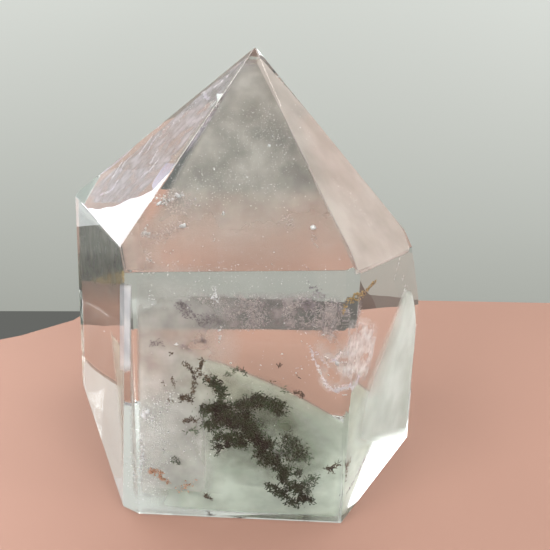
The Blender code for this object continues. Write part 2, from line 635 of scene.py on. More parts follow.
@dataclass
class Film:
    """A thin closed film in the quartz, such as a milky growth zone or a crack, or a sheet whose tone paints in a
    reflection, a highlight or shade.

    The film runs between two edges, each a smooth line through a few points, and
    bulges towards +Y. Its two sides meet at the rim.
    """

    name: str
    top: tuple[Vector3, ...]
    foot: tuple[Vector3, ...]
    finish: Mist | Mineral
    thickness: float = 0.3
    bulge: Vector3 = (0.0, 0.0, 0.0)
    fade: tuple[float, float, float, float] = (0.1, 0.1, 0.1, 0.1)
    steps: tuple[int, int] = (48, 32)

    def edge(self, points: tuple[Vector3, ...], shares: Points) -> Points:
        """A line through the points: each coordinate is interpolated, then smoothed."""
        known = np.linspace(0, 1, len(points))
        rows = np.array(points)
        line = np.stack([np.interp(shares, known, rows[:, axis]) for axis in range(3)], 1)
        for _ in range(6):
            line[1:-1] = (line[:-2] + 2 * line[1:-1] + line[2:]) / 4
        return line

    def build(self) -> bpy.types.Object:
        """Two grids between the edges, apart by the thickness and joined along the rim."""
        across, down = self.steps
        u, v = np.linspace(0, 1, across), np.linspace(0, 1, down)
        top, foot = self.edge(self.top, u), self.edge(self.foot, u)
        grid = top[:, None] * (1 - v)[None, :, None] + foot[:, None] * v[None, :, None]
        dome = np.sin(np.pi * u)[:, None, None] * np.sin(np.pi * v)[None, :, None]
        grid = grid + dome * np.array(self.bulge)
        run, fall = np.gradient(grid, axis=0), np.gradient(grid, axis=1)
        normal = np.cross(run, fall)
        normal /= np.linalg.norm(normal, axis=2, keepdims=True) + 1e-12
        swell = np.minimum(dome * 6, 1) * self.thickness / 2
        sides = np.concatenate([(grid + normal * swell).reshape(-1, 3), (grid - normal * swell).reshape(-1, 3)])
        index = np.arange(across * down).reshape(across, down)
        back = index + across * down
        rim = np.zeros((across, down), bool)
        rim[0], rim[-1], rim[:, 0], rim[:, -1] = True, True, True, True
        back = np.where(rim, index, back)
        front_faces = np.stack([index[:-1, :-1], index[1:, :-1], index[1:, 1:], index[:-1, 1:]], -1)
        back_faces = np.stack([back[:-1, :-1], back[:-1, 1:], back[1:, 1:], back[1:, :-1]], -1)
        faces = np.concatenate([front_faces.reshape(-1, 4), back_faces.reshape(-1, 4)])
        used, faces = np.unique(faces, return_inverse=True)
        made = make_mesh(self.name, sides[used], faces.reshape(-1, 4))
        left, right, upper, lower = (max(width, 1e-3) for width in self.fade)
        cover = (
            np.clip(u / left, 0, 1)[:, None]
            * np.clip((1 - u) / right, 0, 1)[:, None]
            * np.clip(v / upper, 0, 1)[None, :]
            * np.clip((1 - v) / lower, 0, 1)[None, :]
        )
        layer = made.data.attributes.new("cover", "FLOAT", "POINT")
        layer.data.foreach_set("value", np.tile(cover.ravel(), 2)[used].astype(np.float32))
        for face in made.data.polygons:
            face.use_smooth = True
        return dress(made, self.finish)


CHLORITE = Mineral("chlorite, fine scales", "#0B170B", "#2F4A2A", 2.2)
# Chlorite dust strewn round the moss, also a painted soft shade about it.
CHLORITE_DUST_AND_SHADE = Mineral("chlorite dust, and painted shade round the moss", "#2B3A27", "#56684F", 1.6)
THIN_CHLORITE = Mineral("chlorite, thin growth", "#2B3D2C", "#5C7158", 1.8)
BROWN_CHLORITE = Mineral("chlorite, rusty twigs", "#2B2219", "#5A4732", 1.2)
DUSTY_CHLORITE = Mineral("chlorite dust, purplish", "#6A626A", "#9A939A", 1.2)
HEALED_CRACKS = Mineral("healed cracks, lacy white", "#B4A9A8", "#E6DEDA", 1.0, 0.6)
LILAC_CRACKS = Mineral("tiny cracks, lilac white", "#E9DFEC", "#FFFFFF", 3.0, 0.5)
# White flakes for tiny cracks, also set where the stone glints: partly painted glints.
CRACKS_AND_GLINTS = Mineral("tiny cracks, white, painted glints", "#F6F8F9", "#FFFFFF", 1.0, 0.45)
BUBBLES = Mineral("fluid bubbles, milky", "#D5D8D2", "#FFFFFF", 2.0, 0.6)
IRON_STAIN = Mineral("iron stain, ochre", "#917540", "#D6B878", 0.8, 0.5)
ORANGE = Mineral("iron oxide, orange", "#C98F6C", "#EBC6AC", 0.8, 0.5)

MAIN_MOSS = (
    Strand(((-3.2, -26.0, 26.6, 0.42), (-2.2, -26.0, 26.7, 0.68), (-1.5, -26.0, 25.7, 0.85),
            (-0.6, -26.0, 25.0, 0.76), (-0.4, -26.0, 24.0, 0.59))),
    Strand(((-0.8, -25.5, 23.6, 0.42), (-0.8, -25.5, 22.3, 0.68))),
    Strand(((-4.1, -25.0, 20.1, 0.76), (-3.0, -25.0, 20.7, 0.85), (-1.8, -25.0, 21.2, 0.93),
            (-0.5, -25.0, 21.1, 1.02), (0.9, -25.0, 20.6, 1.02))),
    Strand(((-3.9, -25.0, 17.7, 0.68), (-2.7, -25.0, 17.5, 0.76), (-1.3, -25.0, 17.4, 0.85))),
    Strand(((-2.2, -24.0, 19.0, 0.85), (-0.6, -24.0, 18.7, 1.1), (1.1, -24.0, 18.2, 1.27),
            (2.7, -23.9, 17.6, 1.27))),
    Strand(((2.1, -25.5, 21.8, 0.76), (3.5, -25.5, 22.3, 0.93), (4.9, -25.5, 22.6, 0.93),
            (6.2, -25.4, 22.6, 0.85))),
    Strand(((4.7, -25.5, 23.5, 0.59), (5.8, -25.5, 24.0, 0.51), (6.7, -25.4, 23.5, 0.51))),
    Strand(((6.4, -24.9, 22.1, 0.76), (7.6, -24.9, 22.3, 0.85), (8.8, -24.9, 22.2, 1.02),
            (9.9, -24.9, 22.3, 0.68))),
    Strand(((8.0, -24.9, 21.2, 0.76), (9.1, -24.9, 20.8, 0.59), (10.1, -24.9, 20.3, 0.42))),
    Strand(((3.5, -24.0, 20.1, 0.85), (3.9, -23.9, 18.1, 1.1), (4.5, -23.9, 16.1, 1.27))),
    Strand(((-1.4, -25.5, 15.9, 0.59), (-1.7, -25.5, 14.5, 0.51), (-1.3, -25.5, 13.0, 0.51),
            (-1.1, -25.5, 12.2, 0.34))),
    Strand(((-0.9, -25.0, 15.3, 0.68), (0.5, -25.0, 15.4, 0.76), (2.0, -24.9, 15.1, 0.85),
            (3.4, -24.9, 14.8, 1.02))),
    Strand(((-0.4, -25.5, 13.5, 0.42), (0.9, -25.4, 14.2, 0.59), (2.4, -25.4, 14.3, 0.59),
            (3.6, -25.4, 13.7, 0.59))),
    Strand(((4.4, -24.4, 15.9, 1.19), (5.8, -24.4, 14.7, 1.1), (7.3, -24.4, 13.5, 1.19))),
    Strand(((7.3, -24.9, 14.1, 1.02), (8.3, -24.9, 14.4, 0.76))),
    Strand(((5.7, -24.4, 12.6, 0.68), (7.0, -24.4, 11.8, 1.02), (8.1, -24.4, 11.0, 1.1),
            (9.3, -24.4, 9.8, 0.85))),
    Strand(((6.6, -24.9, 10.0, 0.59), (7.8, -24.9, 10.3, 0.76))),
    Strand(((9.5, -24.8, 9.8, 0.76), (10.6, -24.8, 8.8, 0.93), (10.9, -24.8, 7.2, 0.76),
            (10.4, -24.8, 6.3, 0.51))),
    Strand(((11.1, -24.8, 9.2, 0.51), (12.6, -24.8, 8.4, 0.59), (14.0, -24.8, 8.5, 0.51))),
    Strand(((7.9, -25.3, 5.7, 0.42), (9.0, -25.3, 4.9, 0.59), (10.3, -25.3, 4.1, 0.76),
            (11.8, -25.3, 3.7, 0.85))),
    Strand(((12.0, -25.3, 6.0, 0.85), (13.3, -25.3, 5.4, 1.02), (14.3, -25.3, 4.3, 0.85))),
    Strand(((12.0, -26.3, 2.9, 0.76), (13.0, -26.3, 2.3, 0.68), (13.8, -26.3, 1.2, 0.37))),
    Strand(((13.6, -25.8, 3.2, 0.85), (14.9, -25.8, 3.0, 0.68), (16.2, -25.8, 2.9, 0.42))),
    Strand(((14.2, -26.8, 0.1, 0.2), (14.8, -26.8, -0.4, 0.15))),
)
SOFT_MOSS = (
    Strand(((10.4, -21.4, 14.4, 0.68), (11.4, -21.4, 13.6, 0.85), (12.7, -21.3, 12.6, 0.93),
            (13.7, -21.3, 10.9, 1.02), (14.7, -21.3, 9.9, 0.76))),
    Strand(((10.0, -21.9, 12.2, 0.68), (11.4, -21.8, 10.8, 0.93), (12.9, -21.8, 10.0, 0.85))),
    Strand(((14.5, -21.8, 4.3, 0.85), (15.8, -21.8, 5.1, 0.76), (16.8, -21.8, 5.8, 0.59))),
    Strand(((15.3, -22.3, 3.2, 0.68), (16.1, -22.3, 2.4, 0.51))),
    Strand(((5.3, -21.9, 17.0, 0.68), (6.4, -21.9, 15.8, 0.59))),
    Strand(((2.1, -16.9, 3.8, 0.76), (3.2, -16.9, 2.3, 0.85))),
    Strand(((-9.4, -25.0, 9.8, 0.42), (-7.9, -25.0, 9.4, 0.42))),
    Strand(((7.2, -25.8, 0.1, 0.34), (8.3, -25.8, 0.1, 0.27))),
    Strand(((0.2, -24.0, 27.1, 0.27), (0.7, -24.0, 28.0, 0.27), (1.7, -24.0, 28.5, 0.25),
            (2.9, -24.0, 28.2, 0.22), (3.8, -24.0, 27.3, 0.17))),
    Strand(((-6.9, -25.0, 15.9, 0.37), (-5.6, -25.0, 16.5, 0.42), (-5.1, -25.0, 15.9, 0.27))),
    Strand(((9.7, -24.4, 25.4, 0.37), (10.4, -24.4, 24.7, 0.41))),
)
TWIGS = (
    Strand(((-7.5, -26.5, 30.3, 0.17), (-6.5, -26.5, 29.6, 0.2), (-6.0, -26.5, 28.9, 0.24),
            (-5.3, -26.5, 28.0, 0.31), (-5.0, -26.5, 27.0, 0.37))),
    Strand(((-4.0, -26.5, 30.7, 0.2), (-4.2, -26.5, 29.5, 0.2), (-4.7, -26.5, 28.4, 0.27))),
    Strand(((-4.5, -26.3, 28.1, 0.31), (-3.4, -26.3, 27.4, 0.31), (-2.5, -26.2, 26.5, 0.37))),
    Strand(((-5.2, -26.3, 26.7, 0.27), (-5.4, -26.3, 25.8, 0.34), (-5.5, -26.3, 24.6, 0.2),
            (-5.9, -26.3, 23.2, 0.24))),
    Strand(((-7.6, -26.3, 22.5, 0.27), (-7.1, -26.3, 23.5, 0.34), (-6.4, -26.3, 23.2, 0.42),
            (-5.7, -26.2, 22.4, 0.31))),
    Strand(((-7.1, -25.8, 18.4, 0.24), (-6.1, -25.8, 18.7, 0.34), (-4.9, -25.8, 18.5, 0.31))),
    Strand(((-10.7, -26.5, 25.9, 0.15), (-9.9, -26.5, 26.0, 0.15))),
    Strand(((-9.2, -26.5, 26.8, 0.19), (-8.5, -26.5, 25.3, 0.19))),
    Strand(((-9.9, -26.5, 22.7, 0.15), (-8.9, -26.5, 22.5, 0.15))),
    Strand(((-9.6, -26.7, 31.9, 0.17), (-8.8, -26.7, 31.2, 0.17))),
    Strand(((7.1, -25.5, 26.8, 0.2), (7.9, -25.5, 26.8, 0.2))),
    Strand(((11.6, -25.9, 25.3, 0.25), (12.4, -25.9, 25.1, 0.31), (13.3, -25.9, 24.6, 0.24))),
    Strand(((8.6, -26.0, 29.9, 0.25), (8.9, -26.0, 30.1, 0.2))),
    Strand(((-3.3, -25.9, 2.9, 0.34), (-2.0, -25.9, 1.8, 0.42), (-2.7, -25.9, 1.2, 0.3))),
    Strand(((18.2, -25.8, 10.1, 0.27), (19.1, -25.8, 9.9, 0.44), (20.3, -25.8, 11.1, 0.31))),
    Strand(((19.1, -25.8, 9.9, 0.31), (19.4, -25.8, 8.9, 0.17))),
    Strand(((11.7, -25.9, 28.2, 0.2), (11.9, -25.9, 28.0, 0.17))),
)
DARK_LACE = (
    Strand(((28.2, -16.1, 10.9, 0.18), (25.4, -20.7, 8.6, 0.26), (23.0, -24.6, 6.4, 0.24),
            (21.0, -27.8, 4.8, 0.16))),
    Strand(((-8.1, -24.7, 40.2, 0.34), (-7.0, -24.7, 39.7, 0.59), (-6.7, -24.6, 38.3, 0.51))),
    Strand(((-6.2, -24.6, 38.7, 0.27), (-5.1, -24.6, 37.3, 0.24))),
    Strand(((-4.6, -24.6, 37.4, 0.41), (-3.4, -24.6, 38.0, 0.44), (-2.3, -24.6, 38.6, 0.37))),
    Strand(((-4.2, -24.6, 35.9, 0.27), (-3.2, -24.6, 36.4, 0.31), (-2.4, -24.6, 37.3, 0.27))),
    Strand(((-4.1, -24.6, 37.2, 0.27), (-4.1, -24.6, 35.8, 0.25))),
    Strand(((-2.3, -24.6, 37.8, 0.31), (-0.9, -24.6, 36.5, 0.27))),
    Strand(((-12.7, -25.7, 33.1, 0.27), (-10.6, -25.6, 33.0, 0.27))),
    Strand(((-4.2, -25.1, 34.3, 0.2), (-3.5, -25.1, 33.0, 0.27))),
    Strand(((-7.4, -25.6, 32.8, 0.25), (-6.1, -25.6, 32.1, 0.27))),
    Strand(((-5.3, -25.6, 33.5, 0.2), (-4.0, -25.6, 33.5, 0.24))),
    Strand(((12.1, -24.0, 41.1, 0.34), (13.4, -24.0, 40.9, 0.51), (14.7, -24.0, 40.2, 0.51))),
    Strand(((12.7, -24.0, 44.3, 0.2), (13.7, -24.0, 43.3, 0.24), (14.1, -24.0, 42.5, 0.24))),
    Strand(((14.0, -24.0, 44.0, 0.24), (15.1, -24.0, 42.4, 0.24))),
    Strand(((16.4, -24.5, 41.5, 0.27), (17.8, -24.4, 40.7, 0.27), (18.7, -24.4, 39.5, 0.24))),
)
PALE_LACE = (
    Strand(((1.8, -24.1, 41.5, 0.51), (3.0, -24.1, 40.1, 0.76), (3.9, -24.0, 38.4, 0.85),
            (3.3, -24.0, 36.6, 0.59))),
    Strand(((3.6, -24.6, 41.3, 0.51), (5.0, -24.5, 39.5, 0.76), (5.6, -24.5, 37.7, 0.68))),
    Strand(((2.7, -25.1, 37.5, 0.42), (4.3, -25.0, 36.5, 0.42))),
    Strand(((9.2, -24.0, 39.6, 0.42), (10.1, -24.0, 38.2, 0.51), (10.7, -24.0, 37.0, 0.42))),
    Strand(((9.5, -24.0, 39.8, 0.34), (10.9, -24.0, 40.9, 0.42), (12.2, -24.0, 41.7, 0.34))),
    Strand(((11.6, -24.5, 38.8, 0.42), (12.8, -24.5, 37.2, 0.51))),
    Strand(((13.2, -25.0, 40.6, 0.51), (15.0, -25.0, 40.0, 0.68), (16.7, -24.9, 39.0, 0.76),
            (18.0, -24.9, 37.7, 0.59))),
    Strand(((13.5, -25.0, 38.8, 0.51), (15.0, -24.9, 37.9, 0.59), (16.5, -24.9, 36.5, 0.68),
            (17.7, -24.9, 35.3, 0.51))),
    Strand(((15.6, -25.0, 41.8, 0.37), (17.7, -24.9, 40.8, 0.51), (19.0, -24.9, 39.5, 0.42))),
    Strand(((-2.1, -23.6, 40.3, 0.51), (-0.1, -23.6, 38.9, 0.68), (1.3, -23.6, 37.8, 0.51))),
    Strand(((-4.7, -23.6, 41.3, 0.34), (-2.4, -23.6, 39.4, 0.51))),
)
WHITE_FIBRES = (
    Strand(((3.3, -1.8, 70.7, 0.71), (4.5, -3.8, 68.6, 1.07), (6.1, -5.8, 66.7, 1.43))),
    Strand(((6.1, -4.8, 66.3, 1.43), (8.0, -7.4, 63.7, 1.61), (9.9, -9.9, 61.3, 1.43))),
    Strand(((9.9, -8.9, 60.9, 1.25), (11.3, -11.2, 58.6, 1.25), (12.2, -12.9, 56.9, 0.89))),
    Strand(((4.8, -3.3, 63.5, 1.07), (5.7, -5.8, 60.9, 1.07), (7.3, -8.0, 58.7, 1.07))),
    Strand(((2.9, -5.6, 59.6, 0.89), (4.2, -7.8, 57.4, 0.89))),
    Strand(((-4.5, -3.0, 69.0, 0.54), (-3.7, -4.1, 67.9, 0.71), (-2.9, -4.9, 67.1, 0.54))),
    Strand(((-6.3, -8.8, 62.9, 0.54), (-7.4, -10.6, 61.1, 0.54))),
    Strand(((-10.1, -17.2, 55.6, 0.54), (-10.6, -18.5, 54.2, 0.71), (-9.4, -19.9, 52.9, 0.71))),
    Strand(((-8.7, -18.0, 54.8, 0.71), (-7.2, -18.9, 53.9, 0.8), (-8.0, -19.9, 52.9, 0.54))),
    Strand(((-6.5, -13.0, 54.3, 0.89), (-3.8, -12.7, 54.7, 1.07), (-1.3, -13.6, 54.0, 0.89))),
    Strand(((-1.0, -9.8, 56.5, 0.89), (1.5, -10.6, 55.8, 0.89))),
    Strand(((-12.7, -22.8, 48.3, 0.71), (-10.6, -21.8, 49.4, 0.89), (-8.1, -21.0, 50.3, 0.71))),
    Strand(((-0.6, -17.5, 51.5, 0.54), (-1.8, -18.8, 50.0, 0.54))),
    Strand(((8.4, -18.6, 52.3, 0.54), (9.8, -20.3, 50.6, 0.54))),
    Strand(((13.0, -21.7, 50.7, 0.36), (14.0, -23.5, 49.0, 0.36))),
    Strand(((-0.4, -2.0, 64.5, 0.89), (1.5, -3.3, 63.3, 0.89))),
)
TIP_STREAKS = (
    Strand(((-32.5, 14.4, 51.5, 0.20), (-29.6, 12.1, 53.4, 0.30), (-27.0, 11.0, 55.4, 0.30),
            (-24.9, 10.6, 57.3, 0.24), (-23.8, 10.7, 58.4, 0.18))),
    Strand(((-24.0, 10.7, 58.2, 0.18), (-22.2, 11.5, 60.3, 0.18), (-19.7, 9.9, 62.0, 0.16),
            (-17.8, 8.9, 63.4, 0.16))),
    Strand(((-26.3, 5.6, 52.3, 0.16), (-25.7, 7.4, 53.7, 0.16), (-25.1, 9.2, 55.1, 0.12))),
    Strand(((-24.3, 4.7, 53.8, 0.16), (-24.2, 7.6, 55.2, 0.14), (-22.7, 7.7, 56.7, 0.12))),
    Strand(((-20.2, 4.1, 57.6, 0.12), (-19.3, 5.8, 59.2, 0.16), (-18.3, 7.0, 60.7, 0.12))),
    Strand(((-18.0, 1.7, 58.6, 0.12), (-17.6, 3.8, 59.9, 0.14), (-16.9, 5.0, 61.2, 0.12))),
    Strand(((-17.7, 8.8, 62.8, 0.16), (-16.5, 8.9, 64.0, 0.20), (-15.1, 9.1, 65.5, 0.16),
            (-13.2, 7.6, 66.7, 0.14))),
    Strand(((-7.5, 4.9, 70.3, 0.16), (-6.7, 1.9, 69.7, 0.22), (-5.6, -1.3, 69.4, 0.16))),
    Strand(((-5.1, 2.1, 71.4, 0.14), (-4.0, 1.3, 72.1, 0.16), (-3.3, 1.3, 72.8, 0.12))),
    Strand(((-2.8, 1.4, 73.4, 0.14), (-2.2, 1.0, 73.8, 0.16))),
    Strand(((-17.0, -7.4, 55.7, 0.10), (-15.3, -8.1, 57.0, 0.12), (-14.0, -7.0, 58.7, 0.10))),
    Strand(((-15.8, -5.9, 57.5, 0.10), (-15.6, -4.0, 58.5, 0.10), (-15.0, -2.5, 59.8, 0.10))),
    Strand(((-28.0, 2.7, 49.3, 0.12), (-24.6, -0.7, 51.2, 0.14), (-23.9, 1.5, 52.8, 0.12))),
)
CRACK_RIM = (
    Strand(((13.6, -25.9, 34.3, 0.08), (14.3, -25.9, 32.1, 0.10), (15.3, -25.9, 30.1, 0.10),
            (16.5, -25.9, 27.7, 0.12), (17.4, -25.9, 26.4, 0.14), (18.5, -25.9, 25.9, 0.16),
            (19.5, -25.8, 25.9, 0.22))),
    Strand(((18.8, -25.9, 26.3, 0.22), (19.8, -25.8, 26.5, 0.34), (20.7, -25.8, 27.4, 0.26),
            (21.1, -25.8, 28.3, 0.16))),
    Strand(((14.7, -25.9, 33.0, 0.08), (15.8, -25.9, 31.6, 0.10), (16.9, -25.9, 30.6, 0.08))),
    Strand(((17.2, -25.9, 31.3, 0.12), (18.3, -25.9, 32.1, 0.16), (19.0, -25.9, 33.3, 0.10))),
)
MOSSES = (
    Moss(
        "chlorite_moss", MAIN_MOSS, CHLORITE, 3900, 0.13, ("chlorite_phantom",), lace=2.0, lace_share=0.6,
        lowest=1.4,
    ),
    # Chlorite dust about the moss, partly a painted soft shade round it.
    Moss("chlorite_cloud_and_painted_shade", MAIN_MOSS, CHLORITE_DUST_AND_SHADE, 1000, 0.055, spread=1.3, lace_share=3.0, seed=17),
    Moss("chlorite_thin_growth", SOFT_MOSS, THIN_CHLORITE, 1100, 0.1, spread=0.8, lace_share=1.1),
    Moss("chlorite_twigs", TWIGS, BROWN_CHLORITE, 460, 0.1, spread=0.5, lace_share=3.0),
    Moss("chlorite_dust", DARK_LACE, DUSTY_CHLORITE, 700, 0.075, spread=1.0, lace=1.6, lace_share=0.9),
    Moss(
        "lacy_cracks", PALE_LACE, HEALED_CRACKS, 1500, 0.06, spread=1.1, lace=1.9, lace_share=0.5,
        slot="clear_quartz",
    ),
    Moss(
        "fibrous_haze", WHITE_FIBRES, HEALED_CRACKS, 2800, 0.06, spread=0.8, lace=2.4, lace_share=0.6,
        slot="clear_quartz",
    ),
    Moss(
        "tip_streaks", TIP_STREAKS, LILAC_CRACKS, 2000, 0.08, spread=0.6, lace_share=3.0,
        slot="clear_quartz",
    ),
    Moss(
        "crack_rim", CRACK_RIM, LILAC_CRACKS, 420, 0.06, spread=0.5, lace_share=3.0, slot="clear_quartz",
    ),
)
SPECKS = (
    Specks(
        "milky_bubbles",
        (
            Drift((-4.0, -6.0, 64.0), (6.0, -9.0, 60.0), (3.2, 2.2, 3.0), 2600, 0.055),
            Drift((5.0, -5.0, 66.0), (12.0, -13.0, 56.0), (2.0, 1.5, 2.4), 2600, 0.06),
            Drift((-9.0, -14.0, 55.0), (9.0, -12.0, 55.0), (2.5, 3.0, 3.0), 3000, 0.055),
            Drift((12.0, -12.0, 58.0), (21.0, -16.0, 50.0), (1.6, 1.2, 1.6), 1200, 0.06),
            Drift((-14.0, -25.0, 44.0), (18.0, -25.0, 44.0), (1.0, 1.5, 2.0), 500, 0.04),
            Drift((-13.5, -27.0, 5.0), (-10.5, -27.0, 24.0), (1.6, 0.8, 2.0), 1800, 0.055),
        ),
        GrainForm.SPECK,
        BUBBLES,
    ),
    # Tiny cracks, and white flakes put where the stone catches the light: painted glints.
    Specks(
        "crack_flecks_and_painted_glints",
        (
            Drift((6.9, -6.6, 64.5), (9.5, -11.5, 59.5), (1.2, 0.6, 1.4), 110, 0.17),
            Drift((4.5, -9.6, 61.3), (11.0, -12.5, 58.7), (1.0, 0.5, 1.0), 60, 0.15),
            Drift((-12.6, -17.3, 53.9), (-10.3, -17.8, 53.4), (0.5, 0.3, 0.5), 44, 0.15),
            Drift((-12.0, -18.2, 53.1), (-11.0, -18.2, 53.1), (0.4, 0.2, 0.15), 14, 0.2),
            Drift((-9.6, -17.4, 54.0), (-8.4, -16.6, 54.8), (0.35, 0.2, 0.5), 28, 0.2),
            Drift((-8.1, -20.9, 50.2), (-7.6, -20.5, 50.7), (0.12, 0.1, 0.12), 9, 0.25),
            Drift((-3.9, -3.9, 68.2), (-3.5, -4.1, 68.0), (0.5, 0.3, 0.5), 40, 0.22),
            Drift((-4.0, -8.3, 63.6), (-3.7, -8.5, 63.4), (0.35, 0.2, 0.35), 20, 0.17),
            Drift((-6.5, -9.9, 61.9), (-6.4, -9.9, 61.9), (0.3, 0.2, 0.3), 16, 0.17),
            Drift((-7.0, -11.2, 60.6), (-6.2, -12.1, 59.8), (0.4, 0.3, 0.4), 18, 0.13),
            Drift((13.0, -21.2, 51.2), (13.3, -21.0, 51.5), (0.1, 0.1, 0.15), 5, 0.26),
            Drift((16.7, -20.4, 52.3), (16.9, -20.2, 52.5), (0.08, 0.08, 0.1), 3, 0.2),
            Drift((-1.9, -19.3, 52.1), (-1.5, -19.0, 52.5), (0.1, 0.1, 0.15), 5, 0.22),
            Drift((-14.1, -21.5, 49.5), (-13.6, -22.2, 48.7), (0.35, 0.25, 0.5), 24, 0.18),
            Drift((-13.9, -24.5, 46.6), (-12.8, -25.3, 45.7), (0.5, 0.3, 0.6), 26, 0.15),
            Drift((-12.2, -28.0, 43.0), (-11.6, -28.9, 41.5), (0.4, 0.2, 0.6), 16, 0.12),
            Drift((-8.4, -26.1, 33.3), (-8.3, -26.1, 33.2), (0.1, 0.1, 0.1), 4, 0.28),
            Drift((9.0, -26.0, 32.4), (9.1, -26.0, 32.5), (0.1, 0.08, 0.08), 4, 0.22),
            Drift((18.3, -25.9, 31.0), (18.6, -25.9, 31.2), (0.12, 0.1, 0.1), 5, 0.26),
            Drift((-2.4, -26.1, 43.3), (-1.9, -26.1, 40.7), (0.28, 0.2, 0.5), 34, 0.16),
            Drift((-1.2, -26.1, 36.5), (-1.1, -26.1, 33.8), (0.14, 0.1, 0.4), 16, 0.15),
            Drift((-13.4, -29.1, 21.1), (-12.2, -29.1, 18.6), (0.5, 0.2, 0.8), 60, 0.15),
            Drift((-13.5, -29.1, 21.3), (-13.3, -29.1, 20.9), (0.2, 0.1, 0.2), 10, 0.3),
            Drift((-11.1, -29.1, 22.6), (-8.3, -29.1, 24.7), (0.8, 0.2, 0.8), 50, 0.11),
            Drift((-14.3, -29.1, 17.4), (-14.1, -29.1, 12.3), (0.25, 0.15, 0.6), 50, 0.14),
            Drift((-14.2, -29.1, 12.6), (-14.1, -29.1, 11.0), (0.15, 0.1, 0.3), 12, 0.28),
            Drift((-14.1, -29.1, 12.3), (-15.0, -29.1, 7.3), (0.25, 0.15, 0.6), 40, 0.14),
            Drift((-12.7, -29.1, 15.5), (-7.5, -29.0, 17.8), (1.2, 0.2, 1.5), 80, 0.09),
            Drift((-11.0, -29.0, 12.5), (-3.2, -29.0, 12.9), (1.5, 0.2, 1.5), 60, 0.07),
            Drift((-13.0, -25.0, 46.0), (18.0, -24.0, 26.0), (4.0, 2.5, 7.0), 150, 0.08),
            Drift((-14.0, -22.0, 52.0), (10.0, -14.0, 54.0), (3.0, 3.0, 4.0), 110, 0.08),
            Drift((13.0, -26.0, 35.0), (20.0, -26.0, 27.0), (1.5, 0.4, 3.0), 60, 0.1),
            Drift((21.8, -16.1, 51.1), (22.1, -15.8, 51.3), (0.1, 0.1, 0.1), 5, 0.26),
            Drift((21.4, -9.4, 54.8), (21.5, -9.3, 54.9), (0.1, 0.1, 0.1), 3, 0.18),
            Drift((27.8, -11.4, 48.3), (27.9, -11.3, 48.4), (0.1, 0.1, 0.1), 3, 0.16),
            Drift((28.5, -13.7, 47.2), (27.3, -15.9, 42.2), (0.08, 0.08, 0.08), 70, 0.1),
            Drift((29.4, -12.5, 41.1), (31.0, -10.2, 37.9), (0.3, 0.3, 0.5), 24, 0.2),
            Drift((-16.0, 8.5, 62.0), (-30.0, 13.0, 50.0), (1.2, 1.0, 1.0), 110, 0.1),
            Drift((-9.0, 2.0, 69.0), (-18.0, 4.0, 60.0), (0.9, 0.8, 0.8), 70, 0.1),
        ),
        GrainForm.FLAKE,
        CRACKS_AND_GLINTS,
        seed=8,
    ),
    Specks(
        "ochre_stain",
        (
            Drift((22.8, -22.7, 44.5), (20.9, -25.8, 43.6), (0.2, 0.15, 0.25), 120, 0.12),
            Drift((20.9, -25.8, 43.6), (18.9, -29.0, 43.2), (0.25, 0.2, 0.4), 110, 0.11),
            Drift((18.7, -29.2, 43.4), (18.2, -29.8, 41.6), (0.12, 0.1, 0.5), 50, 0.1),
        ),
        GrainForm.FLAKE,
        IRON_STAIN,
        seed=3,
    ),
    Specks(
        "orange_flakes",
        (
            Drift((-13.3, -28.6, 8.9), (-10.8, -28.6, 8.5), (0.3, 0.15, 0.3), 110, 0.13),
            Drift((-11.4, -28.6, 8.0), (-9.4, -28.6, 6.3), (0.25, 0.15, 0.25), 90, 0.11),
            Drift((-7.6, -28.6, 5.2), (-5.6, -28.6, 6.2), (0.5, 0.15, 0.6), 60, 0.1),
        ),
        GrainForm.FLAKE,
        ORANGE,
        seed=4,
    ),
)
